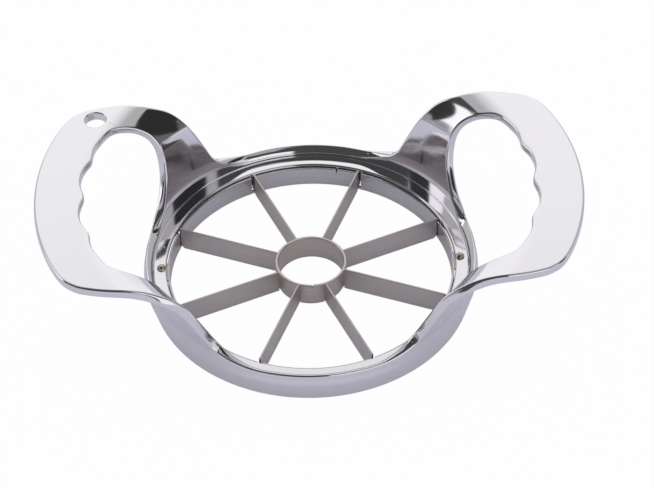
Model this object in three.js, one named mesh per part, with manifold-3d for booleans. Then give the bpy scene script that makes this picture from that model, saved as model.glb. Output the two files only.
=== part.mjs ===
// Fruit slicer: a polished casting with a round skirt and two raised finger loops, which
// holds a stainless insert of eight blades, a corer ring and a band with two rivets.
// Millimetres, +Z up. The origin is the middle of the ring on the table. X runs along
// the two loops and Y points away from the user.

import * as THREE from 'three';
import { mergeVertices } from 'three/addons/utils/BufferGeometryUtils.js';
import Module from 'manifold-3d';

const wasm = await Module();
wasm.setup();

// Sizes of the whole slicer
const overallLength = 170;      // from tip to tip over both loops
const innerDiameter = 90;       // inside the band, which every wider ring size follows
const gripTop = 40.7;           // top of the loops above the table
const fitGap = 0.3;             // clearance between pieces that fit into each other

// Sizes of the casting
const wall = 3;                 // wall of the ring and thickness of the loops
const edgeRound = 0.9;          // how far every edge rounds over
const wallTop = 12.5;           // under the loops the wall stands straight up to here
const flareRadius = 10;         // first bend, where the wall starts to lean outward
const gripBendRadius = 16;      // second bend, where the leaning wall turns level
const rimHeight = 11.5;         // top of the ring between and under the loops
const rimCrown = 2;             // height of the rim's rounded top
const skirtTop = 9.1;           // the skirt flares out up to here
const skirtFlare = 2;           // how much the skirt widens from the table up to there
const footRound = 0.4;          // rounding on both sides of the foot
const footWidth = 1.8;          // width of the ring that the slicer stands on
const ledgeTop = 8;             // the flat ledge over the band
const ledgeStock = 1.6;         // thickness of the ledge
const ledgeReach = 4.1;         // how far the ledge stands in from the wall
const lipRound = 0.5;           // rounding of the ledge's inner lip
const cornerFillet = 0.4;       // hollow fillet between ledge and wall
const gripWidth = 13.8;         // width of a grip from a finger groove to the tip
const shoulderDepth = 1.2;      // how much shallower the outer grooves end
const ridgeHeight = 2.3;        // how far the ridges between the fingers stand in
const hangHoleDiameter = 6.8;   // round hole to hang the slicer by, left loop only

// Sizes of the insert
const bandStock = 0.7;          // thickness of the band's strip
const bandHeight = 7.1;         // top edge of the band above the table
const insertClearance = 0.2;    // how far all cutting edges stay off the table
const bladeStock = 0.6;         // thickness of a blade
const bladeHeight = 8.6;        // back of the blades and top of the corer above the table
const corerDiameter = 21;       // inner diameter of the corer ring
const corerStock = 0.9;         // thickness of its strip
const grindHeight = 1.6;        // height of the ground bevel on every cutting edge
const edgeStock = 0.2;          // thickness left at a cutting edge
const seamWidth = 0.2;          // butt seam where a rolled strip meets itself
const earWidth = 8;             // width of the band's ears
const earStock = 0.7;           // thickness of the ears
const slotWidth = 1.8;          // width of the slots in the band, one for each blade
const slotFoot = 1.3;           // bottom of the slots above the table
const tabReach = 0.5;           // how far a blade's tab stands out behind the band
const heelCut = 1.2;            // corner cut off a blade below its tab

// Sizes of the rivets
const rivetInset = 1.5;         // from the ledge's inner lip to a rivet's middle
const rivetHead = 3;            // diameter of the dome head
const rivetDome = 1.1;          // height of the dome head
const rivetShank = 1.8;         // diameter of the shank
const rivetTail = 2.8;          // diameter of the flattened end
const rivetTailHeight = 0.7;    // height of the flattened end
const rivetTailRound = 0.35;    // rounding of the flattened end

// Sizes of the working only
const overrun = 5;              // how far cutters reach past what they cut
const mergeDistance = 0.0001;   // corners closer than this are one corner

// Counts
const bladeCount = 8;
const rimColumns = 5;           // steps along the rim beside a loop's root
const loopColumns = 8;          // steps across a loop
const rowsPerStation = 3;       // steps from one station of a loop to the next
const edgeSteps = 4;            // steps over a rounded edge
const roundSteps = 96;          // steps round the band
const corerSteps = 48;
const rivetSteps = 16;
const domeSteps = 5;            // steps up a rivet's dome
const holeSteps = 32;

// Angles in degrees; bearings count from the +X axis
const flareAngle = 20;          // lean of the wall between the two bends
const firstBlade = 22.5;
const bandSeamBearing = 77;
const corerSeamBearing = 270;
const hangHoleBearing = 152.1;
const ridgePitch = 13.9;        // from one finger ridge to the next

// Shares
const hangHoleShare = 0.836;    // place of the hang hole, of the climb to the tip
const ridgeSoftShare = 0.16;    // rounding of a ridge, of half the pitch
const stripRoundShare = 0.25;   // rounding of a rolled strip's edges, of its thickness
const bladeRoundShare = 0.17;   // rounding of a blade's back, of its thickness
const softShare = 0.3;          // how far in the middle of a small rounding lies
const landPower = 0.6;          // the lower, the flatter the land of a rounded edge
const probeShare = 0.01;        // part of a station, to find which way an edge runs

// Colours and finish
const chrome = { color: 0xc9cad2, roughness: 0.08, metalness: 1 };
const satinSteel = { color: 0x9c9694, roughness: 0.38, metalness: 1 };
const rivetSteel = { color: 0xb9b2a8, roughness: 0.2, metalness: 1 };

// Worked out from the sizes above
const lipRadius = innerDiameter / 2 + bandStock + fitGap;
const rivetRadius = lipRadius + rivetInset;
const wallInner = lipRadius + ledgeReach;
const wallRadius = wallInner + wall / 2;
const rimRadius = wallInner + wall;
const gripMiddle = gripTop - wall / 2;
const neckHeight = rimHeight - rimCrown;
const flare = THREE.MathUtils.degToRad(flareAngle);
const slopeStart = wallTop + flareRadius * Math.sin(flare);
const slopeTop = gripMiddle - gripBendRadius * (1 - Math.sin(flare));
const slopeLength = (slopeTop - slopeStart) / Math.cos(flare);
const slopeRadius = wallRadius + flareRadius * (1 - Math.cos(flare));
const levelRadius = slopeRadius + slopeLength * Math.sin(flare) + gripBendRadius * Math.cos(flare);
const rivetHoleDiameter = rivetShank + 2 * fitGap;

// The way up the middle of a loop, counted from the neck of the rim
const straightClimb = wallTop - neckHeight;
const slopeClimb = straightClimb + flareRadius * flare;
const bendClimb = slopeClimb + slopeLength;
const levelClimb = bendClimb + gripBendRadius * (Math.PI / 2 - flare);
const tipClimb = levelClimb + overallLength / 2 - edgeRound - levelRadius;
const grooveClimb = tipClimb - gripWidth + 2 * edgeRound;

// A loop is a sheet that climbs from the ring's wall, bends outward, slopes and bends
// level. A place on it is a bearing in degrees and a climb. Each edge is a smooth curve
// through stations of a bearing and a share of the climb to the tip. The first four
// stations lie on the rim, and the fourth is the corner where the rim turns up into the
// loop. The hole ends in the finger grooves.
const grooveShare = grooveClimb / tipClimb;
const shoulderShare = grooveShare - shoulderDepth / tipClimb;
const holeStations = [
  [0, 0], [8, 0], [15.5, 0.004], [21.5, 0.06],
  [27, 0.135], [31.1, 0.212], [33.5, 0.3], [34.5, 0.39],
  [34.5, 0.475], [33.4, 0.55], [30.8, 0.637], [26.7, 0.718],
  [1.5 * ridgePitch, shoulderShare], [ridgePitch, grooveShare],
  [ridgePitch / 2, grooveShare], [0, grooveShare],
];
const outerStations = [
  [90, 0], [77, 0], [67, 0.004], [58, 0.056],
  [53.3, 0.123], [50.8, 0.239], [48.7, 0.348], [46.3, 0.45],
  [43.6, 0.543], [39.2, 0.647], [34.9, 0.77], [31.3, 0.87],
  [28.3, 0.94], [24, 0.98], [13, 0.996], [0, 1],
];
const cornerStation = 3;
const lastStation = holeStations.length - 1;

// Both ends of an edge run on as their own mirror images, so the quarters meet smoothly
const mirroredStations = 2;
function edgeCurve(stations) {
  const mirrored = (index, end) => [2 * end[0] - stations[index][0], stations[index][1]];
  const before = [mirrored(2, stations[0]), mirrored(1, stations[0])];
  const end = stations[lastStation];
  const after = [mirrored(lastStation - 1, end), mirrored(lastStation - 2, end)];
  const points = [...before, ...stations, ...after].map(
    ([bearing, share]) => new THREE.Vector3(bearing, share * tipClimb, 0));
  return new THREE.CatmullRomCurve3(points, false, 'catmullrom', 0.5);
}

const holeCurve = edgeCurve(holeStations);
const outerCurve = edgeCurve(outerStations);

// A place on an edge at a station number, which need not be whole
function placeOn(curve, station) {
  const place = curve.getPoint((station + mirroredStations) / (lastStation + 2 * mirroredStations));
  return { bearing: place.x, climb: place.y };
}

// The ridges between the finger grooves: each groove is an arc, each ridge is softened
function holePlace(station) {
  const place = placeOn(holeCurve, station);
  if (place.climb < tipClimb / 2) return place;
  const halfPitch = ridgePitch / 2;
  const nearestRidge = Math.min(Math.round(Math.abs(place.bearing) / ridgePitch), 1) * ridgePitch;
  const away = Math.abs(Math.abs(place.bearing) - nearestRidge) / halfPitch;
  const rise = Math.max(0, 1 - Math.hypot(away, ridgeSoftShare));
  place.climb -= ridgeHeight * rise * rise;
  return place;
}

const outerPlace = station => placeOn(outerCurve, station);

// The point of the sheet's middle surface at a place, and the normal on its upper side
function sheetPoint({ bearing, climb }) {
  const { clamp } = THREE.MathUtils;
  const firstBend = clamp((climb - straightClimb) / flareRadius, 0, flare);
  const slope = clamp(climb - slopeClimb, 0, slopeLength);
  const bend = firstBend + clamp((climb - bendClimb) / gripBendRadius, 0, Math.PI / 2 - flare);
  const secondBend = Math.max(bend, flare);
  const radius = wallRadius + flareRadius * (1 - Math.cos(firstBend)) + slope * Math.sin(flare)
    + gripBendRadius * (Math.cos(flare) - Math.cos(secondBend)) + Math.max(0, climb - levelClimb);
  const height = neckHeight + Math.min(climb, straightClimb) + flareRadius * Math.sin(firstBend)
    + slope * Math.cos(flare) + gripBendRadius * (Math.sin(secondBend) - Math.sin(flare));
  const turn = THREE.MathUtils.degToRad(bearing);
  const outward = new THREE.Vector3(Math.cos(turn), Math.sin(turn), 0);
  const point = outward.clone().multiplyScalar(radius).setZ(height);
  const normal = outward.multiplyScalar(-Math.cos(bend)).setZ(Math.sin(bend));
  return { point, normal };
}

// Points over a rounded edge, from the sheet's upper side to its outer side. A loop's edge
// has a flat land with soft corners, and the rim's top is a round crown.
function roundedEdge(placeAt, station, side) {
  const place = placeAt(station);
  const { point, normal } = sheetPoint(place);
  const ahead = sheetPoint(placeAt(station + probeShare)).point;
  const behind = sheetPoint(placeAt(station - probeShare)).point;
  const off = ahead.sub(behind).normalize().cross(normal).multiplyScalar(side);
  const onRim = Math.max(0, 1 - place.climb / straightClimb) ** 2;
  const acrossPower = THREE.MathUtils.lerp(landPower, 1, onRim);
  const rise = THREE.MathUtils.lerp(edgeRound, rimCrown, onRim);
  const points = [];
  for (let step = 0; step <= edgeSteps; step += 1) {
    const angle = Math.PI * (step / edgeSteps - 1 / 2);
    const across = -Math.sign(Math.sin(angle)) * Math.abs(Math.sin(angle)) ** acrossPower;
    const out = rise * Math.max(0, Math.cos(angle)) ** landPower;
    points.push(point.clone()
      .addScaledVector(normal, across * wall / 2)
      .addScaledVector(off, out));
  }
  return points;
}

const holeEdge = station => roundedEdge(holePlace, station, 1);
const outerEdge = station => roundedEdge(outerPlace, station, -1);

// The ring's section below the neck, from the outer side over the foot to the inner side
const footRadius = rimRadius - skirtFlare;
const footInner = footRadius - footWidth - footRound;
const skirtInner = wallInner - fitGap;
const ledgeUnder = ledgeTop - ledgeStock;
const ringSection = [
  [rimRadius, skirtTop],
  [footRadius, footRound],
  [footRadius - softShare * footRound, softShare * footRound],
  [footRadius - footRound, 0],
  [footInner + footRound, 0],
  [footInner, footRound],
  [skirtInner, ledgeUnder],
  [lipRadius + lipRound, ledgeUnder],
  [lipRadius, ledgeUnder + lipRound],
  [lipRadius, ledgeTop - lipRound],
  [lipRadius + softShare * lipRound, ledgeTop - softShare * lipRound],
  [lipRadius + lipRound, ledgeTop],
  [wallInner - cornerFillet, ledgeTop],
  [wallInner, ledgeTop + cornerFillet],
];

function ringColumn(bearing) {
  const turn = THREE.MathUtils.degToRad(bearing);
  return ringSection.map(([radius, height]) =>
    new THREE.Vector3(radius * Math.cos(turn), radius * Math.sin(turn), height));
}

// A skin between sections of equally many points
function loft(sections, triangles) {
  for (let row = 0; row + 1 < sections.length; row += 1) {
    const here = sections[row];
    const next = sections[row + 1];
    for (let step = 0; step + 1 < here.length; step += 1) {
      triangles.push(here[step], next[step + 1], next[step]);
      triangles.push(here[step], here[step + 1], next[step + 1]);
    }
  }
}

// The sheet across a loop between its two edges, on one side of the middle surface
function sheetRow(station, side) {
  const hole = holePlace(station);
  const outer = outerPlace(station);
  const first = holeEdge(station);
  const last = outerEdge(station);
  const points = [];
  for (let column = 1; column < loopColumns; column += 1) {
    const share = column / loopColumns;
    const { point, normal } = sheetPoint({
      bearing: THREE.MathUtils.lerp(hole.bearing, outer.bearing, share),
      climb: THREE.MathUtils.lerp(hole.climb, outer.climb, share),
    });
    points.push(point.addScaledVector(normal, side * wall / 2));
  }
  const end = side > 0 ? 0 : edgeSteps;
  return [first[end], ...points, last[end]];
}

// One quarter of the casting, from the loop's tip to the middle of the far rim
function quarterCasting() {
  const triangles = [];
  const rimPart = (placeAt, edgeAt, order) => {
    const sections = [];
    for (let column = 0; column <= rimColumns; column += 1) {
      const station = cornerStation * order(column) / rimColumns;
      const edge = edgeAt(station);
      sections.push([edge[edgeSteps], ...ringColumn(placeAt(station).bearing), ...edge]);
    }
    loft(sections, triangles);
  };
  rimPart(holePlace, holeEdge, column => column);
  rimPart(outerPlace, outerEdge, column => rimColumns - column);

  const upperNeck = sheetRow(cornerStation, 1);
  const outerNeck = sheetRow(cornerStation, -1);
  const rootSections = upperNeck.map((upper, column) => {
    const bearing = THREE.MathUtils.lerp(
      holePlace(cornerStation).bearing, outerPlace(cornerStation).bearing, column / loopColumns);
    return [outerNeck[column], ...ringColumn(bearing), upper];
  });
  loft(rootSections, triangles);

  const loopSections = [];
  const rows = (lastStation - cornerStation) * rowsPerStation;
  for (let row = 0; row <= rows; row += 1) {
    const station = cornerStation + row / rowsPerStation;
    const acrossOuter = sheetRow(station, -1);
    const acrossUpper = sheetRow(station, 1).reverse();
    const overOuter = outerEdge(station).reverse().slice(1, -1);
    const overHole = holeEdge(station).slice(1, -1);
    loopSections.push([
      ...acrossOuter, ...overOuter, ...acrossUpper, ...overHole, acrossOuter[0]]);
  }
  loft(loopSections, triangles);
  return triangles;
}

// A geometry of loose triangles, whose shared corners are then merged
function closedGeometry(triangles) {
  const geometry = new THREE.BufferGeometry();
  const values = triangles.flatMap(corner => [corner.x, corner.y, corner.z]);
  geometry.setAttribute('position', new THREE.Float32BufferAttribute(values, 3));
  return merged(geometry);
}

function merged(geometry) {
  geometry.deleteAttribute('normal');
  geometry.deleteAttribute('uv');
  return mergeVertices(geometry, mergeDistance);
}

function toSolid(geometry) {
  const closed = merged(geometry);
  return new wasm.Manifold(new wasm.Mesh({
    numProp: 3,
    vertProperties: new Float32Array(closed.attributes.position.array),
    triVerts: new Uint32Array(closed.index.array),
  }));
}

function toGeometry(solid) {
  const mesh = solid.getMesh();
  const geometry = new THREE.BufferGeometry();
  geometry.setAttribute('position', new THREE.BufferAttribute(mesh.vertProperties, 3));
  geometry.setIndex(new THREE.BufferAttribute(mesh.triVerts, 1));
  return geometry;
}

// A body of revolution about +Z from a closed outline of radius and height
function revolved(outline, steps) {
  const points = outline.map(([radius, height]) => new THREE.Vector2(radius, height));
  return new THREE.LatheGeometry(points, steps).rotateX(Math.PI / 2);
}

function cutter(diameter, low, high) {
  const height = high - low;
  return new THREE.CylinderGeometry(diameter / 2, diameter / 2, height, holeSteps)
    .rotateX(Math.PI / 2)
    .translate(0, 0, (low + high) / 2);
}

// The casting: four mirrored quarters, less the hang hole and the two rivet holes
function castingGeometry() {
  const quarter = quarterCasting();
  const triangles = [];
  for (const [alongX, alongY] of [[1, 1], [-1, 1], [-1, -1], [1, -1]]) {
    const scale = new THREE.Vector3(alongX, alongY, 1);
    for (let corner = 0; corner < quarter.length; corner += 3) {
      const triangle = quarter.slice(corner, corner + 3).map(point => point.clone().multiply(scale));
      if (alongX * alongY < 0) triangle.reverse();
      triangles.push(...triangle);
    }
  }
  let casting = toSolid(closedGeometry(triangles));
  const hang = sheetPoint({ bearing: hangHoleBearing, climb: hangHoleShare * tipClimb }).point;
  const hangHole = cutter(hangHoleDiameter, hang.z - overrun, hang.z + overrun)
    .translate(hang.x, hang.y, 0);
  casting = casting.subtract(toSolid(hangHole));
  for (const side of [-1, 1]) {
    const rivetHole = cutter(rivetHoleDiameter, -overrun, ledgeTop + overrun)
      .translate(side * rivetRadius, 0, 0);
    casting = casting.subtract(toSolid(rivetHole));
  }
  return toGeometry(casting);
}

// The band: a rolled strip with a butt seam, an ear under the ledge at each rivet and an
// open slot at each blade
function bandGeometry() {
  const inner = innerDiameter / 2;
  const outer = inner + bandStock;
  const corner = stripRoundShare * bandStock;
  let band = toSolid(revolved([
    [inner, insertClearance + corner],
    [inner + corner, insertClearance],
    [outer - corner, insertClearance],
    [outer, insertClearance + corner],
    [outer, bandHeight - corner],
    [outer - corner, bandHeight],
    [inner + corner, bandHeight],
    [inner, bandHeight - corner],
    [inner, insertClearance + corner],
  ], roundSteps));
  const earStart = inner + bandStock / 2;
  const earEnd = skirtInner - 2 * fitGap;
  for (const side of [-1, 1]) {
    const ear = new THREE.BoxGeometry(earEnd - earStart, earWidth, earStock)
      .translate(side * (earStart + earEnd) / 2, 0, ledgeUnder - earStock / 2);
    const hole = cutter(rivetHoleDiameter, 0, ledgeTop).translate(side * rivetRadius, 0, 0);
    band = band.add(toSolid(ear)).subtract(toSolid(hole));
  }
  for (let blade = 0; blade < bladeCount; blade += 1) {
    const slot = new THREE.BoxGeometry(overrun, slotWidth, bandHeight)
      .translate(inner, 0, slotFoot + bandHeight / 2)
      .rotateZ(bladeTurn(blade));
    band = band.subtract(toSolid(slot));
  }
  return toGeometry(band.subtract(seamCutter(innerDiameter, bandStock, bandSeamBearing)));
}

// A thin box that opens a rolled ring at a bearing
function seamCutter(bore, stock, bearing) {
  const box = new THREE.BoxGeometry(2 * stock + overrun, seamWidth, bladeHeight + 2 * overrun)
    .translate((bore + stock) / 2, 0, bladeHeight / 2)
    .rotateZ(THREE.MathUtils.degToRad(bearing));
  return toSolid(box);
}

// The corer: a rolled tube, ground outside to a cutting edge at its lower end
function corerGeometry() {
  const inner = corerDiameter / 2;
  const outer = inner + corerStock;
  const corner = stripRoundShare * corerStock;
  const ring = toSolid(revolved([
    [inner, insertClearance],
    [inner + edgeStock, insertClearance],
    [outer, insertClearance + grindHeight],
    [outer, bladeHeight - corner],
    [outer - corner, bladeHeight],
    [inner + corner, bladeHeight],
    [inner, bladeHeight - corner],
    [inner, insertClearance],
  ], corerSteps));
  return toGeometry(ring.subtract(seamCutter(corerDiameter, corerStock, corerSeamBearing)));
}

const bladeTurn = blade => THREE.MathUtils.degToRad(firstBlade + 360 * blade / bladeCount);

// A blade: a flat strip ground from both sides to a cutting edge at its lower side. A tab
// at its outer end reaches through the band's slot.
function bladeGeometry() {
  const start = corerDiameter / 2 + corerStock + fitGap;
  const end = innerDiameter / 2 * Math.cos(Math.PI / roundSteps) - fitGap;
  const half = bladeStock / 2;
  const halfEdge = edgeStock / 2;
  const corner = bladeRoundShare * bladeStock;
  const section = new THREE.Shape();
  section.moveTo(-halfEdge, insertClearance);
  section.lineTo(halfEdge, insertClearance);
  section.lineTo(half, insertClearance + grindHeight);
  section.lineTo(half, bladeHeight - corner);
  section.lineTo(half - corner, bladeHeight);
  section.lineTo(corner - half, bladeHeight);
  section.lineTo(-half, bladeHeight - corner);
  section.lineTo(-half, insertClearance + grindHeight);
  section.closePath();
  const strip = new THREE.ExtrudeGeometry(section, { depth: end - start, bevelEnabled: false })
    .rotateX(Math.PI / 2)
    .rotateZ(Math.PI / 2)
    .translate(start, 0, 0);
  const tabFoot = insertClearance + grindHeight;
  const tabTop = ledgeUnder - fitGap;
  const tabStart = end - tabReach;
  const tabEnd = innerDiameter / 2 + bandStock + tabReach;
  const tab = new THREE.BoxGeometry(tabEnd - tabStart, bladeStock, tabTop - tabFoot)
    .translate((tabStart + tabEnd) / 2, 0, (tabFoot + tabTop) / 2);
  const heel = new THREE.BoxGeometry(Math.SQRT2 * heelCut, 2 * bladeStock, Math.SQRT2 * heelCut)
    .rotateY(Math.PI / 4)
    .translate(end, 0, insertClearance);
  return toGeometry(toSolid(strip).add(toSolid(tab)).subtract(toSolid(heel)));
}

// A rivet: a dome on the ledge, a shank through ledge and ear, and a flattened end
function rivetGeometry() {
  const head = rivetHead / 2;
  const shank = rivetShank / 2;
  const tail = rivetTail / 2;
  const tailTop = ledgeUnder - earStock;
  const tailEnd = tailTop - rivetTailHeight;
  const outline = [
    [0, tailEnd],
    [tail - rivetTailRound, tailEnd],
    [tail, tailEnd + rivetTailRound],
    [tail, tailTop],
    [shank, tailTop],
    [shank, ledgeTop],
    [head, ledgeTop],
  ];
  for (let step = 1; step <= domeSteps; step += 1) {
    const angle = Math.PI / 2 * step / domeSteps;
    const radius = step === domeSteps ? 0 : head * Math.cos(angle);
    outline.push([radius, ledgeTop + rivetDome * Math.sin(angle)]);
  }
  return merged(revolved(outline, rivetSteps));
}

const slicer = new THREE.Group();

function addPiece(name, geometry, finish) {
  const piece = new THREE.Mesh(geometry, new THREE.MeshStandardMaterial(finish));
  piece.name = name;
  slicer.add(piece);
  return piece;
}

addPiece('frame_casting', castingGeometry(), chrome);
addPiece('blade_band', bandGeometry(), satinSteel);
addPiece('corer_ring', corerGeometry(), satinSteel);
for (let blade = 0; blade < bladeCount; blade += 1) {
  const piece = addPiece(`blade_${blade + 1}`, bladeGeometry(), satinSteel);
  piece.rotation.z = bladeTurn(blade);
}
addPiece('rivet_right', rivetGeometry(), rivetSteel).position.x = rivetRadius;
addPiece('rivet_left', rivetGeometry(), rivetSteel).position.x = -rivetRadius;

export default slicer;
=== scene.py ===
import math

import bpy
import numpy as np
from mathutils import Matrix, Vector


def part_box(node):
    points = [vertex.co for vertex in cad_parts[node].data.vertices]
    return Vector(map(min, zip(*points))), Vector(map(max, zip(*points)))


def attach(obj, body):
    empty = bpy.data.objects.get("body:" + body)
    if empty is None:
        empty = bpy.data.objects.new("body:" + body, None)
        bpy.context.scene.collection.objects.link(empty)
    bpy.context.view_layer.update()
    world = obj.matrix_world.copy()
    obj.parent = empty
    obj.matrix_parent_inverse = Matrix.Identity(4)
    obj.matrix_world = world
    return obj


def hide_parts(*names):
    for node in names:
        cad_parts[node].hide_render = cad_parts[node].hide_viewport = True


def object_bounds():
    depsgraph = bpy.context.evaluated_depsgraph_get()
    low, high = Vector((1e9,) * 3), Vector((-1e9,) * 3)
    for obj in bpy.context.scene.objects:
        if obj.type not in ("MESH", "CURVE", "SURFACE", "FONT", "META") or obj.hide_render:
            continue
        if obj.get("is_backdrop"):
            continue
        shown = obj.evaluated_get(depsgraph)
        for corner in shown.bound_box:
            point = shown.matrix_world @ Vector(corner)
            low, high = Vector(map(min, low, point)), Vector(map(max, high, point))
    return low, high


# Fruit slicer: a polished zinc casting with two finger loops, round a stainless insert.
# Sizes are in millimetres until a mesh is made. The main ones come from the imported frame.
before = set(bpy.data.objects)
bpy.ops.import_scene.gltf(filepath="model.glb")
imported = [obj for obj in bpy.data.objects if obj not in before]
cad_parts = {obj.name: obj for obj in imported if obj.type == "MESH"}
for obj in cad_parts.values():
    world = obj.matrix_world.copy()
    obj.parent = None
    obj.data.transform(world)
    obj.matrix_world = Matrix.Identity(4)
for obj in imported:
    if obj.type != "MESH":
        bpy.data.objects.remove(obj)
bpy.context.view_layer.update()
mm = 0.001


def boxOf(node):
    low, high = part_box(node)
    return np.array(low) / mm, np.array(high) / mm


# The camera of the photo, fitted to the round edges of ring and corer
photoCamera = {
    "azimuth": -1.18,        # degrees, 0 looks along +Y
    "elevation": 45.05,      # degrees above the table
    "roll": -1.48,           # degrees
    "distance": 800.2,       # from the lens to the ring's middle on the table
    "middle": (311.4, 280),  # the pixel that shows that middle
    "size": (654, 488),      # the photo in pixels
    "focal": 2496,           # focal length in pixels
    "sensor": 36,            # sensor width
    "nearest": 0.01,         # metres, nothing closer is seen
}


def addCamera(view):
    # The camera stands at its distance from the ring's middle, rolls about its line of sight, and
    # turns until that middle falls on its own pixel of the photo
    azimuth, elevation, roll = (math.radians(view[key]) for key in ("azimuth", "elevation", "roll"))
    back = Vector((math.sin(azimuth) * math.cos(elevation),
                   -math.cos(azimuth) * math.cos(elevation),
                   math.sin(elevation)))
    right = Vector((0, 0, 1)).cross(back).normalized()
    up = back.cross(right)
    level = Matrix((right, -up, -back))
    offset = [(view["middle"][axis] - view["size"][axis] / 2) / view["focal"] for axis in (0, 1)]
    toMiddle = Vector((offset[0], offset[1], 1)).normalized()
    turned = Vector((0, 0, 1)).rotation_difference(toMiddle).to_matrix()
    rows = turned @ Matrix.Rotation(roll, 3, "Z") @ level
    placed = Matrix((rows[0], -rows[1], -rows[2])).transposed().to_4x4()
    placed.translation = back * view["distance"] * mm
    data = bpy.data.cameras.new("photoCamera")
    data.sensor_width = view["sensor"]
    data.lens = view["focal"] / view["size"][0] * view["sensor"]
    data.clip_start = view["nearest"]
    camera = bpy.data.objects.new("photoCamera", data)
    camera.matrix_world = placed
    bpy.context.scene.collection.objects.link(camera)
    bpy.context.scene.camera = camera


addCamera(photoCamera)
print("camera ready")


def linear(hexColor):
    # sRGB hex to linear: the lower part is a straight line, the rest a power curve
    values = np.array([int(hexColor[i:i + 2], 16) for i in (1, 3, 5)]) / 255
    curve = np.where(values <= 0.04045, values / 12.92, ((values + 0.055) / 1.055) ** 2.4)
    return (*curve.tolist(), 1.0)


def node(tree, kind, settings=None, **links):
    # Adds a node, sets its properties and sockets, and links the named sockets.
    # A number as a key is a socket's position.
    made = tree.nodes.new(kind)
    for key, value in (settings or {}).items():
        if isinstance(key, int) or key in made.inputs:
            made.inputs[key].default_value = value
        else:
            setattr(made, key, value)
    for key, source in links.items():
        name = int(key[1:]) if key[0] == "_" else key.replace("_", " ")
        tree.links.new(source, made.inputs[name])
    return made


def mapped(tree, value, source, target, **settings):
    # A value carried from one range of numbers to another, and held at their ends
    return node(tree, "ShaderNodeMapRange", {
        "From Min": source[0], "From Max": source[1], "To Min": target[0], "To Max": target[1],
        **settings}, Value=value).outputs["Result"]


def newMaterial(name):
    material = bpy.data.materials.new(name)
    material.use_nodes = True
    material.node_tree.nodes.clear()
    return material, material.node_tree


meshing = {
    "supportShare": 0.25,    # length of the short legs beside a rounding, as a share of it
    "weldDecimals": 4,       # points that agree in so many decimals of a millimetre are one
    "crispAngle": 40,        # degrees, steeper edges stay crisp
}


def roundedPath(corners, closed=False):
    # A line through corners of (radius, height, rounding, steps): each rounding is an arc that
    # touches both legs, and short legs beside it keep its shading off the long flats
    shape = np.array([corner[:2] for corner in corners], float)
    count = len(shape)
    points = []
    for index, (_, _, rounding, steps) in enumerate(corners):
        here = shape[index]
        atEnd = not closed and index in (0, count - 1)
        if rounding == 0 or atEnd:
            points.append(here[None])
            continue
        into = shape[index - 1] - here
        out = shape[(index + 1) % count] - here
        into = into / np.linalg.norm(into)
        out = out / np.linalg.norm(out)
        half = np.arccos(np.clip(into @ out, -1, 1)) / 2
        reach = rounding / np.tan(half)
        middle = here + (into + out) / np.linalg.norm(into + out) * rounding / np.sin(half)
        start = here + into * reach - middle
        end = here + out * reach - middle
        share = np.linspace(0, 1, steps + 1)[:, None]
        sweep = np.pi - 2 * half
        arc = (np.sin((1 - share) * sweep) * start + np.sin(share * sweep) * end) / np.sin(sweep)
        support = rounding * meshing["supportShare"]
        before = middle + start + into * support
        after = middle + end + out * support
        points.append(np.vstack([before, middle + arc, after]))
    return np.vstack(points)


def gridFaces(rows, columns, start=0, closed=False):
    # Quads between the neighbours of a grid of points, row by row
    index = start + np.arange(rows * columns).reshape(rows, columns)
    if closed:
        index = np.hstack([index, index[:, :1]])
    quads = np.stack([index[:-1, :-1], index[:-1, 1:], index[1:, 1:], index[1:, :-1]], -1)
    return quads.reshape(-1, 4)


def welded(points, quads):
    # Points that fall together become one. A quad that loses one corner is a triangle then, and
    # one that loses more is dropped.
    _, first, back = np.unique(
        np.round(points, meshing["weldDecimals"]), axis=0, return_index=True,
        return_inverse=True)
    faces = back.reshape(-1)[quads]
    same = faces == np.roll(faces, -1, axis=1)
    short = same.sum(1) == 1
    return points[first], faces[~same.any(1)], faces[short][~same[short]].reshape(-1, 3)


def outward(points, quads):
    # The sum of the signed volumes between the origin and each half quad says which way a closed
    # skin faces, and one that faces in is turned round
    a, b, c, d = (points[quads[:, i]] for i in range(4))
    volume = (a * (np.cross(b, c) + np.cross(c, d))).sum()
    return points, quads if volume > 0 else quads[:, ::-1]


def joined(*skins):
    starts = np.cumsum([0] + [len(points) for points, _ in skins])
    return (np.vstack([points for points, _ in skins]),
            np.vstack([quads + start for (_, quads), start in zip(skins, starts)]))


def turned(outline, bearings):
    # An outline of radius and height turned to each bearing in degrees
    turn = np.radians(bearings)
    turn = turn[:, None] if turn.ndim == 1 else turn
    radius, height = (np.broadcast_to(outline[..., axis], (len(turn), outline.shape[-2]))
                      for axis in (0, 1))
    return np.stack([radius * np.cos(turn), radius * np.sin(turn), height], -1)


def makePiece(name, skins, material, slot, *nodes):
    # Welds closed skins into one smooth mesh with crisp edges, which rides on the frame
    points, quads, triangles = welded(*joined(*(outward(*skin) for skin in skins)))
    mesh = bpy.data.meshes.new(name)
    mesh.from_pydata((points * mm).tolist(), [], quads.tolist() + triangles.tolist())
    mesh.polygons.foreach_set("use_smooth", np.ones(len(mesh.polygons), bool))
    mesh.set_sharp_from_angle(angle=math.radians(meshing["crispAngle"]))
    mesh.materials.append(material)
    mesh.update()
    piece = bpy.data.objects.new(name, mesh)
    bpy.context.scene.collection.objects.link(piece)
    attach(piece, "root")
    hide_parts(*nodes)
    print(name, len(mesh.polygons), "faces")


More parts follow.
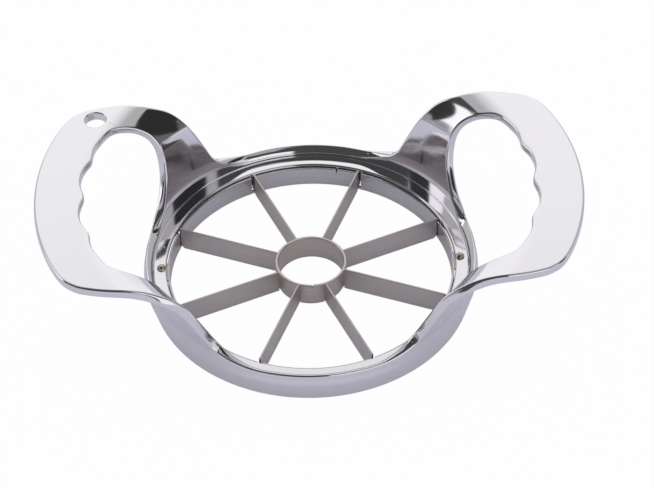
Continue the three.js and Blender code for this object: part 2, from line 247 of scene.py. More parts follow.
# The casting. Places on a loop's sheet are a bearing in degrees and a climb along the sheet,
# as in the solid, and stations give each edge as a bearing and a share of the climb to the tip.
castHigh = boxOf("frame_casting")[1]
bandLow, bandHigh = boxOf("blade_band")
casting = {
    "wall": 3,               # thickness of ring wall and loops
    "edgeRound": 0.9,        # how far every edge rounds over
    "landPower": 0.6,        # the lower, the flatter the land of a rounded edge
    "wallTop": 12.5,         # the wall stands straight up to here
    "flareRadius": 10,       # first bend
    "gripBendRadius": 16,    # second bend
    "flareAngle": 20,        # degrees between the two bends
    "bendEase": 2.2,         # way over which each bend sets in
    "rimHeight": 11.35,
    "rimCrown": 1.85,        # height of the rim's rounded top
    "rimShift": 0.25,        # how far its crest lies outside the middle, in half walls
    "rimSlope": 1.5,         # the higher, the hollower its inner side
    "rimFade": 1.5,          # climb over which that shape fades, in heights of the upright wall
    "rimLean": 0.4,          # how far the outer side leans in below the rounded top
    "leanShare": 0.05,       # share of the climb to the tip over which that lean ends
    "skirtTop": 7.8,
    "skirtBend": 3.2,        # rounding of the skirt's widest place
    "skirtBulge": 0.133,     # how far its corner stands out before it is rounded
    "skirtFlare": 2,
    "footRound": 0.4,
    "footWidth": 1.8,
    "ledgeTop": 8,
    "ledgeStock": 1.6,
    "ledgeGap": 0.3,         # from the band to the ledge's lip
    "underRound": 0.3,       # rounding of the corner below the ledge
    "lipRound": 0.5,
    "cornerFillet": 0.4,
    "gripWidth": 13.8,
    "shoulderDepth": 1.2,
    "ridgeHeight": 2.3,
    "ridgePitch": 13.9,      # degrees
    "ridgeSoft": 0.16,
    "hangHole": 6.8,
    "hangHoleBearing": 27.9,
    "hangHoleShare": 0.836,
    "hangHoleRound": 0.35,
    "rivetInset": 1.5,
    "rivetHole": 2.4,
}
detail = {
    "climbs": 6000,          # steps of a loop's profile
    "rimColumns": 50,        # steps of a quarter's rim on each side of a loop's root
    "loopColumns": 36,       # steps across a loop
    "rowsPerStation": 10,    # steps from one station of a loop to the next
    "edgeSteps": 18,         # steps over a rounded edge
    "holeMargin": 0.2,       # mm from the hang hole's lip to the faces that are left as they are
    "holeRings": 5,          # rings of faces round the hang hole
    "holeCrowding": 0.7,     # the lower, the closer they stand to it
    "holeLipSteps": 5,
}

ringRadius = castHigh[1]
tipReach = castHigh[0]
gripMiddle = castHigh[2] - casting["wall"] / 2
wallInner = ringRadius - casting["wall"]
wallRadius = ringRadius - casting["wall"] / 2
neckHeight = casting["rimHeight"] - casting["rimCrown"]


def loopProfile(c):
    # How far out, how high and how steep a loop's middle runs at each climb. The lean grows from
    # upright to the slope and on to level in two bends, each eased in by a running mean, and
    # radius and height are the running sums of the lean's sine and cosine.
    flare = math.radians(c["flareAngle"])
    slopeStart = c["wallTop"] + c["flareRadius"] * math.sin(flare)
    slopeTop = gripMiddle - c["gripBendRadius"] * (1 - math.sin(flare))
    straight = c["wallTop"] - neckHeight
    slope = straight + c["flareRadius"] * flare
    bend = slope + (slopeTop - slopeStart) / math.cos(flare)
    level = bend + c["gripBendRadius"] * (math.pi / 2 - flare)
    farEnd = level + 2 * c["gripWidth"]
    climbs = np.linspace(0, farEnd, detail["climbs"] + 1)
    step = climbs[1]
    lean = np.interp(climbs, [straight, slope, bend, level], [0, flare, flare, math.pi / 2])
    reach = int(c["bendEase"] / 2 / step)
    window = np.hanning(2 * reach + 1)
    lean = np.convolve(np.pad(lean, reach, mode="edge"), window / window.sum(), "valid")
    middle = (lean[1:] + lean[:-1]) / 2
    radius = wallRadius + np.concatenate([[0], np.cumsum(np.sin(middle)) * step])
    height = np.concatenate([[0], np.cumsum(np.cos(middle)) * step])
    height = neckHeight + height * (gripMiddle - neckHeight) / height[-1]
    tip = np.interp(tipReach - c["edgeRound"], radius, climbs)
    return {"climbs": climbs, "radius": radius, "height": height, "lean": lean,
            "straight": straight, "tip": tip}


profile = loopProfile(casting)
tipClimb = profile["tip"]
grooveShare = 1 - (casting["gripWidth"] - 2 * casting["edgeRound"]) / tipClimb
shoulderShare = grooveShare - casting["shoulderDepth"] / tipClimb
ridgePitch = casting["ridgePitch"]
holeStations = np.array([
    (0, 0), (8, 0), (15.5, 0.004), (21.5, 0.06),
    (27, 0.135), (31.1, 0.212), (33.5, 0.3), (34.5, 0.39),
    (34.5, 0.475), (33.4, 0.55), (30.8, 0.637), (26.7, 0.718),
    (1.5 * ridgePitch, shoulderShare), (ridgePitch, grooveShare),
    (ridgePitch / 2, grooveShare), (0, grooveShare),
])
outerStations = np.array([
    (90, 0), (77, 0), (67, 0.004), (58, 0.056),
    (53.3, 0.123), (50.8, 0.239), (48.7, 0.348), (46.3, 0.45),
    (43.6, 0.543), (39.2, 0.647), (34.9, 0.77), (31.3, 0.87),
    (28.3, 0.94), (24, 0.98), (13, 0.996), (0, 1),
])
cornerStation = 3
lastStation = len(holeStations) - 1


def edgePlaces(stations, at):
    # A smooth cubic through the stations at each station number in at: between two stations it
    # also leans on the one before and the one after, and the ends run on as mirror images
    def mirrored(rows, end):
        return np.column_stack([2 * end[0] - rows[:, 0], rows[:, 1]])
    points = np.vstack([
        mirrored(stations[[2, 1]], stations[0]), stations,
        mirrored(stations[[-2, -3]], stations[-1])])
    span = np.clip(np.floor(at).astype(int), -1, len(stations) - 1)
    t = (at - span)[:, None]
    a, b, c, d = (points[span + offset] for offset in (1, 2, 3, 4))
    cubic = (2 * b + (c - a) * t + (2 * a - 5 * b + 4 * c - d) * t ** 2
             + (3 * b - 3 * c + d - a) * t ** 3) / 2
    return cubic[:, 0], cubic[:, 1] * tipClimb


def holePlaces(at):
    # The hole's edge; each groove between the fingers is an arc, each ridge softened
    bearing, climb = edgePlaces(holeStations, at)
    near = np.minimum(np.round(np.abs(bearing) / ridgePitch), 1) * ridgePitch
    away = np.abs(np.abs(bearing) - near) / (ridgePitch / 2)
    rise = np.maximum(0, 1 - np.hypot(away, casting["ridgeSoft"]))
    onGrip = climb > tipClimb / 2
    return bearing, climb - onGrip * casting["ridgeHeight"] * rise ** 2


def outerPlaces(at):
    return edgePlaces(outerStations, at)


def sheetAt(bearing, climb):
    # The sheet's middle surface and its upward normal: the profile turned to the bearing
    turn = np.radians(bearing)
    radius, height, lean = (
        np.interp(climb, profile["climbs"], profile[key]) for key in ("radius", "height", "lean"))
    radius = np.where(climb < 0, wallRadius, radius)
    height = np.where(climb < 0, neckHeight + climb, height)
    point = np.stack([radius * np.cos(turn), radius * np.sin(turn), height], -1)
    normal = np.stack([
        -np.cos(turn) * np.cos(lean), -np.sin(turn) * np.cos(lean), np.sin(lean)], -1)
    return point, normal


def leanAt(climb):
    # Share of the rim's lean: full on the rim and nothing at the loops' roots
    return np.maximum(0, 1 - climb / tipClimb / casting["leanShare"])


def roundedEdge(placesAt, at, side):
    # Over the edge from the upper to the outer side: across the wall and outward run as the sine
    # and cosine of a half turn, both raised to a power below one, which leaves a flat land.
    # The rim's crest lies off the middle, and its inner side has a power above one, which gives
    # a slope.
    probe = 0.01             # stations, to find the edge's direction
    bearing, climb = placesAt(at)
    point, normal = sheetAt(bearing, climb)
    ahead, _ = sheetAt(*placesAt(at + probe))
    behind, _ = sheetAt(*placesAt(at - probe))
    along = (ahead - behind) / np.linalg.norm(ahead - behind, axis=1)[:, None]
    off = np.cross(along, normal) * side
    turn = np.linspace(-np.pi / 2, np.pi / 2, detail["edgeSteps"] + 1)
    onRim = np.maximum(0, 1 - climb / profile["straight"] / casting["rimFade"])[:, None]
    morePower = casting["rimSlope"] - casting["landPower"]
    power = casting["landPower"] + (turn < 0) * morePower * onRim
    shift = casting["rimShift"] * onRim
    lean = leanAt(climb)[:, None] * 2 * casting["rimLean"] / casting["wall"]
    reach = np.sign(turn) - (turn > 0) * lean - shift
    across = -shift - reach * np.abs(np.sin(turn)) ** power
    rise = casting["edgeRound"] + (casting["rimCrown"] - casting["edgeRound"]) * onRim
    out = rise * np.maximum(0, np.cos(turn)) ** power
    return (point[:, None] + normal[:, None] * across[..., None] * casting["wall"] / 2
            + off[:, None] * out[..., None])


def sheetGrid(at, side):
    # The sheet between its two edges, straight across in bearing and climb. Side 1 is its upper
    # face, -1 the lower one and 0 its middle surface.
    share = np.linspace(0, 1, detail["loopColumns"] + 1)[None]
    holeBearing, holeClimb = (place[:, None] for place in holePlaces(at))
    outerBearing, outerClimb = (place[:, None] for place in outerPlaces(at))
    point, normal = sheetAt(holeBearing + (outerBearing - holeBearing) * share,
                            holeClimb + (outerClimb - holeClimb) * share)
    return point + normal * side * casting["wall"] / 2


def ringOutline(c, leaning):
    # The ring's section below the neck, from the outer side over the foot to the inner side
    footRadius = ringRadius - c["skirtFlare"]
    footInner = footRadius - c["footWidth"] - 2 * c["footRound"]
    ledgeUnder = c["ledgeTop"] - c["ledgeStock"]
    lipRadius = bandHigh[1] + c["ledgeGap"]
    return roundedPath([
        (ringRadius - leaning * c["rimLean"], neckHeight, 0, 0),
        (ringRadius + leaning * c["skirtBulge"], c["skirtTop"], c["skirtBend"], 6),
        (footRadius, 0, c["footRound"], 5),
        (footInner + c["footRound"], 0, c["footRound"], 5),
        (wallInner - c["ledgeGap"], ledgeUnder, c["underRound"], 3),
        (lipRadius, ledgeUnder, c["lipRound"], 5),
        (lipRadius, c["ledgeTop"], c["lipRound"], 6),
        (wallInner, c["ledgeTop"], c["cornerFillet"], 6),
        (wallInner, c["ledgeTop"] + 2 * c["cornerFillet"], 0, 0),
    ])


def ringColumns(bearing, climb):
    # The section at each bearing lies between the upright and the leaning one
    upright, leaning = (ringOutline(casting, lean) for lean in (0, 1))
    return turned(upright + (leaning - upright) * leanAt(climb)[:, None, None], bearing)


def blockEdge(block):
    # The points round the outside of a block of a grid, once round
    return np.vstack([block[0, :-1], block[:-1, -1], block[-1, :0:-1], block[:0:-1, 0]])


def holePatch(sheet, core, side, middle):
    # A block of the sheet's grid gives way to rings that run from the block's outline to the
    # round hole, at the same angles, over its rounded lip and half way down its wall. The angles
    # come from the middle surface, so that both sides meet there.
    radius = casting["hangHole"] / 2
    soft = casting["hangHoleRound"]
    far = np.hypot(*(core[..., :2] - middle).transpose(2, 0, 1))
    rows, columns = np.nonzero(far < radius + soft + detail["holeMargin"])
    top, bottom = rows.min() - 1, rows.max() + 1
    left, right = max(columns.min() - 1, 0), min(columns.max() + 1, sheet.shape[1] - 1)
    block = (slice(top, bottom + 1), slice(left, right + 1))
    outline = blockEdge(sheet[block])
    away = blockEdge(core[block])[:, :2] - middle
    turn = np.arctan2(away[:, 1], away[:, 0])
    circle = np.stack([np.cos(turn), np.sin(turn)], -1)
    height = outline[0, 2]
    rings = [outline]

    def addRing(flat, level):
        rings.append(np.column_stack([flat, np.full(len(flat), level)]))

    lipStart = middle + circle * (radius + soft)
    for share in np.linspace(0, 1, detail["holeRings"] + 1)[1:]:
        into = share ** detail["holeCrowding"]
        addRing(outline[:, :2] + (lipStart - outline[:, :2]) * into, height)
    for angle in np.linspace(0, np.pi / 2, detail["holeLipSteps"] + 1)[1:]:
        drop = soft * (1 - np.cos(angle))
        addRing(middle + circle * (radius + soft * (1 - np.sin(angle))), height - side * drop)
    addRing(middle + circle * radius, gripMiddle)
    return np.stack(rings), (slice(top, bottom), slice(left, right))


def quarterSkin(withHole):
    # One quarter of the casting, from the loop's tip to the middle of the far rim: the rim on
    # both sides of the root, the wall below the root, and the loop with its two edges
    parts = []
    quads = []

    def add(grid, closed=False, dropped=None):
        rows, columns = grid.shape[:2]
        start = sum(len(part) for part in parts)
        faces = gridFaces(rows, columns, start, closed)
        if dropped:
            kept = np.ones((rows - 1, columns - 1), bool)
            kept[dropped] = False
            faces = faces[kept.ravel()]
        parts.append(grid.reshape(-1, 3))
        quads.append(faces)

    share = np.linspace(0, 1, detail["rimColumns"] + 1)
    for placesAt, side, at in ((holePlaces, 1, cornerStation * share),
                               (outerPlaces, -1, cornerStation * share[::-1])):
        edge = roundedEdge(placesAt, at, side)
        ring = ringColumns(*placesAt(at))
        add(np.concatenate([edge[:, -1:], ring, edge], 1))

    corner = np.array([float(cornerStation)])
    upper = sheetGrid(corner, 1)[0][:, None]
    outer = sheetGrid(corner, -1)[0][:, None]
    across = np.linspace(0, 1, detail["loopColumns"] + 1)
    first, last = np.array(holePlaces(corner)), np.array(outerPlaces(corner))
    add(np.concatenate([outer, ringColumns(*(first + (last - first) * across)), upper], 1))

    rows = (lastStation - cornerStation) * detail["rowsPerStation"]
    at = np.linspace(cornerStation, lastStation, rows + 1)
    add(roundedEdge(outerPlaces, at, -1)[:, ::-1])
    add(roundedEdge(holePlaces, at, 1))
    turn = math.radians(casting["hangHoleBearing"])
    out = np.interp(casting["hangHoleShare"] * tipClimb, profile["climbs"], profile["radius"])
    middle = out * np.array([math.cos(turn), math.sin(turn)])
    for side in (1, -1):
        sheet, core = (sheetGrid(at, level)[:, ::-side] for level in (side, 0))
        if not withHole:
            add(sheet)
            continue
        rings, inside = holePatch(sheet, core, side, middle)
        add(sheet, dropped=inside)
        add(rings, closed=True)
    return np.vstack(parts), np.vstack(quads)


def castingSkin():
    # Four mirrored quarters; a mirrored one has its faces turned round
    skins = []
    for alongX, alongY in ((1, 1), (-1, 1), (-1, -1), (1, -1)):
        points, faces = quarterSkin(withHole=(alongX, alongY) == (-1, 1))
        skins.append((points * (alongX, alongY, 1), faces[:, ::alongX * alongY]))
    return joined(*skins)


# Zinc alloy, pressure die cast, buffed and bright nickel-chrome plated: a mirror with a faint
# cool tint. Buffing leaves slow waves that bend reflections, and hair-fine lines round the
# ring. The real lines are a few hundredths of a millimetre apart, too fine to show, so they
# are drawn coarser. No wheel reaches inside the skirt, which stays as it left the die: dull
# and grey. Its colour there is darker still: painted shade for the recess under the ledge.
zincLook = {
    "color": "#e8e6ea",
    # The inside's colour is the dull grey of unbuffed zinc darkened further as painted shade, so
    # the recess under the ledge and the slots beside the blades look dark
    "castShadeColor": "#5f5e63",
    "castRoughness": 0.5,
    "castShadeRadius": 50.2,          # mm, the unbuffed inside lies within this radius
    "castShadeTop": 6.45,             # mm, and below this height
    "roughness": (0.04, 0.09),   # on the lines and between them
    "waveSize": 11,              # mm from one slow wave to the next
    "waveDepth": 0.016,          # mm
    "waveDetail": 1.5,
    "lineSize": 0.35,            # mm from one buffing line to the next
    "lineDepth": 0.0008,         # mm
    "lineDetail": 3.0,
    "lineRoughness": 0.6,
    "lineRange": (0.35, 0.65),   # where most of the line pattern's values lie
}


def polishedZinc(look):
    material, tree = newMaterial("polishedZinc")
    place = node(tree, "ShaderNodeTexCoord").outputs["Object"]
    waves = node(tree, "ShaderNodeTexNoise", {
        "Scale": 1 / (look["waveSize"] * mm), "Detail": look["waveDetail"]}, Vector=place)
    level = node(tree, "ShaderNodeVectorMath", {"operation": "MULTIPLY", 1: (1, 1, 0)}, _0=place)
    radius = node(tree, "ShaderNodeVectorMath", {"operation": "LENGTH"}, _0=level.outputs[0])
    height = node(tree, "ShaderNodeSeparateXYZ", Vector=place)
    across = node(tree, "ShaderNodeCombineXYZ", X=radius.outputs["Value"], Y=height.outputs["Z"])
    lines = node(tree, "ShaderNodeTexNoise", {
        "Scale": 1 / (look["lineSize"] * mm), "Detail": look["lineDetail"],
        "Roughness": look["lineRoughness"]}, Vector=across.outputs["Vector"])
    dull = mapped(tree, lines.outputs["Fac"], look["lineRange"], look["roughness"])
    # Unbuffed inside within the radius and below the height: real dull zinc, with painted shade in
    # its darker colour
    within = node(tree, "ShaderNodeMath", {
        "operation": "LESS_THAN", 1: look["castShadeRadius"] * mm}, _0=radius.outputs["Value"])
    under = node(tree, "ShaderNodeMath", {
        "operation": "LESS_THAN", 1: look["castShadeTop"] * mm}, _0=height.outputs["Z"])
    unbuffedShade = node(tree, "ShaderNodeMath", {"operation": "MULTIPLY"},
               _0=within.outputs["Value"], _1=under.outputs["Value"]).outputs["Value"]
    color = node(tree, "ShaderNodeMix", {
        "data_type": "RGBA", 6: linear(look["color"]), 7: linear(look["castShadeColor"])}, Factor=unbuffedShade)
    finish = node(tree, "ShaderNodeMix", {"B": look["castRoughness"]}, Factor=unbuffedShade, A=dull)
    slow = node(tree, "ShaderNodeBump", {"Distance": look["waveDepth"] * mm},
                Height=waves.outputs["Fac"])
    fine = node(tree, "ShaderNodeBump", {"Distance": look["lineDepth"] * mm},
                Height=lines.outputs["Fac"], Normal=slow.outputs["Normal"])
    shader = node(tree, "ShaderNodeBsdfPrincipled", {"Metallic": 1.0},
                  Base_Color=color.outputs[2], Roughness=finish.outputs["Result"],
                  Normal=fine.outputs["Normal"])
    node(tree, "ShaderNodeOutputMaterial", Surface=shader.outputs["BSDF"])
    return material


makePiece("frameCasting", [castingSkin()], polishedZinc(zincLook), "polished_zinc", "frame_casting")


def withCaps(grid):
    # Both open ends of a carried outline get a fan of faces about their middle
    rows, columns = grid.shape[:2]
    middles = np.stack([grid[0].mean(0), grid[-1].mean(0)])
    ring = np.arange(columns)
    following = np.roll(ring, -1)
    total = rows * columns
    first = np.stack([ring, np.full(columns, total), np.full(columns, total), following], -1)
    end = (rows - 1) * columns
    last = np.stack([
        end + following, np.full(columns, total + 1), np.full(columns, total + 1), end + ring], -1)
    return (np.vstack([grid.reshape(-1, 3), middles]),
            np.vstack([gridFaces(rows, columns, closed=True), first, last]))


def stripRing(outline, strip, slotBearings=()):
    # A closed outline of radius and height carried round from one side of the butt seam to the
    # other. The seam opens into a small V at its top. Each side of a slot has two sections, one
    # at full height and one cut down to the slot's foot, with the slot's wall between them.
    seam = strip["seamBearing"]
    perMm = math.degrees(1 / outline[:, 0].mean())
    bearings = np.linspace(seam, seam + 360, strip["steps"] + 1)
    cut = np.zeros(len(bearings), bool)
    if len(slotBearings):
        reach = strip["slotWidth"] / 2 * perMm
        middles = seam + (np.array(slotBearings) - seam) % 360
        away = np.abs(bearings[:, None] - middles).min(1)
        sliver = 1e-6        # degrees, which keeps the two sections of a slot's side in order
        nudge = np.repeat([-sliver, sliver, -sliver, sliver], len(middles))
        sides = np.concatenate([middles - reach, middles - reach, middles + reach, middles + reach])
        cut = np.concatenate([away < reach, np.repeat([False, True, True, False], len(middles))])
        order = np.argsort(np.concatenate([bearings, sides + nudge]))
        bearings, cut = np.concatenate([bearings, sides])[order], cut[order]
    sections = np.broadcast_to(outline, (len(bearings), *outline.shape)).copy()
    height = sections[..., 1]
    top = height.max()
    gape = np.clip(1 - (top - outline[:, 1]) / strip["notchDepth"], 0, 1) * strip["notchWidth"]
    opening = (strip["seamWidth"] + gape) / 2 * perMm
    places = np.repeat(bearings[:, None], len(outline), 1)
    places[0] += opening
    places[-1] -= opening
    if cut.any():
        sections[..., 1] = np.where(cut[:, None], np.minimum(height, strip["slotFoot"]), height)
    return withCaps(turned(sections, places))


# Stainless steel strip, cold rolled and belt ground to a satin: soft grey-brown reflections,
# and fine lines along the strip. Grinding scratches are about 0.02 mm wide, too fine to show,
# so the pattern keeps only the coarser bundles that they run in.
satinLook = {
    "lineSize": 0.45,            # mm from one bundle of scratches to the next
    "lineLength": 25,            # mm along which a bundle fades in and out
    "lineDepth": 0.002,          # mm
    "lineDetail": 4.0,
    "lineRoughness": 0.65,
    "lineRange": (0.3, 0.7),     # where most of the line pattern's values lie
    "lineShade": 0.86,           # colour of the darkest lines, as a share of the brightest
    "cloudSize": 9,              # mm from one duller patch to the next
    "cloudDetail": 2.0,
    "sumRange": (0.7, 1.3),      # where most values of lines and patches together lie
    "band": {"color": "#d3d0d2", "roughness": (0.2, 0.3)},
    "corer": {"color": "#d2c8c1", "roughness": (0.24, 0.34)},
    "blade": {"color": "#d1cac6", "roughness": (0.3, 0.42)},
}


def satinSteel(name, look, part):
    material, tree = newMaterial(name)
    place = node(tree, "ShaderNodeTexCoord").outputs["Object"]
    along, across = 1 / (look["lineLength"] * mm), 1 / (look["lineSize"] * mm)
    drawn = node(tree, "ShaderNodeMapping", {"Scale": (along, along, across)}, Vector=place)
    lines = node(tree, "ShaderNodeTexNoise", {
        "Scale": 1.0, "Detail": look["lineDetail"], "Roughness": look["lineRoughness"]},
        Vector=drawn.outputs["Vector"])
    clouds = node(tree, "ShaderNodeTexNoise", {
        "Scale": 1 / (look["cloudSize"] * mm), "Detail": look["cloudDetail"]}, Vector=place)
    mixed = node(tree, "ShaderNodeMath", {"operation": "ADD"},
                 _0=lines.outputs["Fac"], _1=clouds.outputs["Fac"])
    dull = mapped(tree, mixed.outputs["Value"], look["sumRange"], part["roughness"])
    shade = mapped(tree, lines.outputs["Fac"], look["lineRange"], (look["lineShade"], 1.0))
    color = node(tree, "ShaderNodeVectorMath", {
        "operation": "SCALE", 0: linear(part["color"])[:3]}, Scale=shade)
    relief = node(tree, "ShaderNodeBump", {"Distance": look["lineDepth"] * mm},
                  Height=lines.outputs["Fac"])
    shader = node(tree, "ShaderNodeBsdfPrincipled", {"Metallic": 1.0},
                  Base_Color=color.outputs["Vector"], Roughness=dull,
                  Normal=relief.outputs["Normal"])
    node(tree, "ShaderNodeOutputMaterial", Surface=shader.outputs["BSDF"])
    return material


# The blades' sizes come first, because the band's slots follow them
blade = {
    "count": 8,
    "first": 22.5,           # bearing of the first, degrees
    "stock": 0.6,            # thickness
    "round": 0.12,           # rounding of the back
    "grind": 1.6,            # height of the ground bevel
    "edge": 0.2,             # thickness left at the cutting edge
    "edgeRound": 0.03,       # rounding of the cutting edge
    "grindRound": 0.1,       # rounding where the bevel starts
    "sunk": 0.1,             # how far its ends go into the corer and the band
    "heelCut": 1.2,          # corner cut off below the tab
    "tabTop": 6.1,
    "tabReach": 0.5,         # how far the tab stands out behind the band
}
bladeBearings = blade["first"] + 360 / blade["count"] * np.arange(blade["count"])

# The band: rolled strip with a butt seam, a slot for each blade and an ear at each rivet
band = {
    "stock": 0.7,
    "round": 0.17,
    "seamBearing": 77,
    "seamWidth": 0.01,       # the ends touch all but for the notch
    "notchWidth": 0.5,       # V at the top of the seam
    "notchDepth": 1.7,
    "slotWidth": 1.8,
    "slotFoot": 1.3,
    "steps": 384,
    "earWidth": 8,
    "earStock": 0.7,
    "earGap": 0.9,           # from the ear to the casting's wall
    "earPower": 0.3,         # the lower, the squarer the ear's corners
    "earSteps": 96,
}


def stripOutline(inner, outer, low, top, strip):
    # A strip's section with rounded edges, and a point on each side where the seam's V starts
    notch = top - strip["notchDepth"]
    return roundedPath([
        (inner, low, strip["round"], 3), (outer, low, strip["round"], 3), (outer, notch, 0, 0),
        (outer, top, strip["round"], 4), (inner, top, strip["round"], 4), (inner, notch, 0, 0),
    ], closed=True)


def earSkin(side):
    # A plate round the rivet's hole: cosine and sine of the angle, both raised to a low power,
    # give its rounded rectangle, and it goes over that outline and back through the hole
    ledgeUnder = casting["ledgeTop"] - casting["ledgeStock"]
    middle = bandHigh[1] + casting["ledgeGap"] + casting["rivetInset"]
    angle = np.linspace(0, 2 * np.pi, band["earSteps"], endpoint=False)
    cosine, sine = np.cos(angle), np.sin(angle)
    power = band["earPower"]
    outReach = wallInner - band["earGap"] - middle
    inReach = middle - bandHigh[1] + band["stock"] / 2
    x = np.sign(cosine) * np.abs(cosine) ** power * np.where(cosine > 0, outReach, inReach)
    y = np.sign(sine) * np.abs(sine) ** power * band["earWidth"] / 2
    hole = casting["rivetHole"] / 2 * np.stack([cosine, sine], -1)
    flat = np.stack([x, y], -1)
    rows = []
    for outline, height in ((hole, 0), (hole, 1), (flat, 1), (flat, 0), (hole, 0)):
        level = np.full(len(angle), ledgeUnder - band["earStock"] * (1 - height))
        rows.append(np.column_stack([side * (middle + outline[:, 0]), outline[:, 1], level]))
    grid = np.stack(rows)
    return grid.reshape(-1, 3), gridFaces(*grid.shape[:2], closed=True)


bandOutline = stripOutline(bandHigh[1] - band["stock"], bandHigh[1], bandLow[2], bandHigh[2], band)
makePiece("bladeBand", [stripRing(bandOutline, band, bladeBearings), earSkin(1), earSkin(-1)],
          satinSteel("satinBand", satinLook, satinLook["band"]), "satin_steel", "blade_band")

# The corer: a rolled tube, ground outside to a cutting edge
corerLow, corerHigh = boxOf("corer_ring")
corer = {
    "stock": 0.9,
    "round": 0.2,
    "grind": 1.6,            # height of the ground bevel
    "grindRound": 0.1,
    "edge": 0.2,             # thickness left at the cutting edge
    "edgeRound": 0.03,
    "seamBearing": 270,
    "seamWidth": 0.01,
    "notchWidth": 0.5,
    "notchDepth": 1.3,
    "steps": 256,
}


def corerOutline(c):
    # The tube's section, with a point on each side where the seam's V starts
    inner, outer = corerHigh[0] - c["stock"], corerHigh[0]
    notch = corerHigh[2] - c["notchDepth"]
    return roundedPath([
        (inner, corerLow[2], c["edgeRound"], 2),
        (inner + c["edge"], corerLow[2], c["edgeRound"], 2),
        (outer, corerLow[2] + c["grind"], c["grindRound"], 3), (outer, notch, 0, 0),
        (outer, corerHigh[2], c["round"], 4), (inner, corerHigh[2], c["round"], 4),
        (inner, notch, 0, 0),
    ], closed=True)


makePiece("corerRing", [stripRing(corerOutline(corer), corer)],
          satinSteel("satinCorer", satinLook, satinLook["corer"]), "satin_steel", "corer_ring")

# The blades: flat strips ground from both sides to a cutting edge
bladeMaterial = satinSteel("satinBlade", satinLook, satinLook["blade"])


def bladeSkin(bearing):
    # The section carried outwards from the corer, then turned to its bearing. The cut heel and
    # the tab come from limits on the section's heights, and the end wall from two sections at
    # one place.
    half = blade["stock"] / 2
    low, high = bandLow[2], corerHigh[2]
    bevel = low + blade["grind"]
    section = roundedPath([
        (-blade["edge"] / 2, low, blade["edgeRound"], 2),
        (blade["edge"] / 2, low, blade["edgeRound"], 2),
        (half, bevel, blade["grindRound"], 2), (half, high, blade["round"], 4),
        (-half, high, blade["round"], 4), (-half, bevel, blade["grindRound"], 2),
    ], closed=True)
    end = bandHigh[1] - band["stock"] + blade["sunk"]
    tabEnd = bandHigh[1] + blade["tabReach"]
    heel = end - blade["heelCut"]
    stations = np.array([
        (corerHigh[0] - blade["sunk"], low, high), (heel, low, high),
        (end, low + blade["heelCut"], high), (end, bevel, blade["tabTop"]),
        (tabEnd, bevel, blade["tabTop"])])
    heights = np.clip(section[None, :, 1], stations[:, 1:2], stations[:, 2:])
    turn = math.radians(bearing)
    out = np.array([math.cos(turn), math.sin(turn), 0])
    aside = np.array([-math.sin(turn), math.cos(turn), 0])
    return withCaps(stations[:, :1, None] * out + section[None, :, :1] * aside
                    + heights[..., None] * np.array([0, 0, 1]))


for number, bearing in enumerate(bladeBearings, 1):
    makePiece(f"blade{number}", [bladeSkin(bearing)], bladeMaterial, "satin_steel",
              f"blade_{number}")

# The rivets: a dome on the ledge, a shank and a flattened end
rivet = {
    "head": 3,
    "dome": 1.1,
    "domeSteps": 12,
    "shank": 1.8,
    "tail": 2.8,
    "tailHeight": 0.7,
    "tailRound": 0.3,        # rounding below
    "tailCrease": 0.05,      # rounding above
    "steps": 64,
}

# Stainless steel wire, headed cold and left bright, a little warmer than the strip
rivetLook = {"color": "#c9bfb2", "roughness": 0.12}


def rivetSteel(look):
    material, tree = newMaterial("rivetSteel")
    shader = node(tree, "ShaderNodeBsdfPrincipled", {
        "Base Color": linear(look["color"]), "Metallic": 1.0, "Roughness": look["roughness"]})
    node(tree, "ShaderNodeOutputMaterial", Surface=shader.outputs["BSDF"])
    return material


def rivetSkin(middle, low):
    # An outline of radius and height turned round: the dome is a flattened quarter circle
    head, shank, tail = rivet["head"] / 2, rivet["shank"] / 2, rivet["tail"] / 2
    angle = np.linspace(0, np.pi / 2, rivet["domeSteps"] + 1)
    ledge = casting["ledgeTop"]
    domed = np.column_stack([head * np.cos(angle), ledge + rivet["dome"] * np.sin(angle)])
    tailTop = low + rivet["tailHeight"]
    tailPath = roundedPath([
        (0, low, 0, 0), (tail, low, rivet["tailRound"], 4),
        (tail, tailTop, rivet["tailCrease"], 2), (shank, tailTop, 0, 0)])
    outline = np.vstack([tailPath, [[shank, ledge]], domed])
    outline[-1, 0] = 0
    grid = turned(outline, np.linspace(0, 360, rivet["steps"], endpoint=False))
    grid = grid.transpose(1, 0, 2) + np.array([*middle, 0])
    return grid.reshape(-1, 3), gridFaces(*grid.shape[:2], closed=True)


rivetMaterial = rivetSteel(rivetLook)
for side in ("right", "left"):
    low, high = boxOf(f"rivet_{side}")
    makePiece(f"rivet{side.capitalize()}", [rivetSkin((low + high)[:2] / 2, low[2])],
              rivetMaterial, "rivet_steel", f"rivet_{side}")

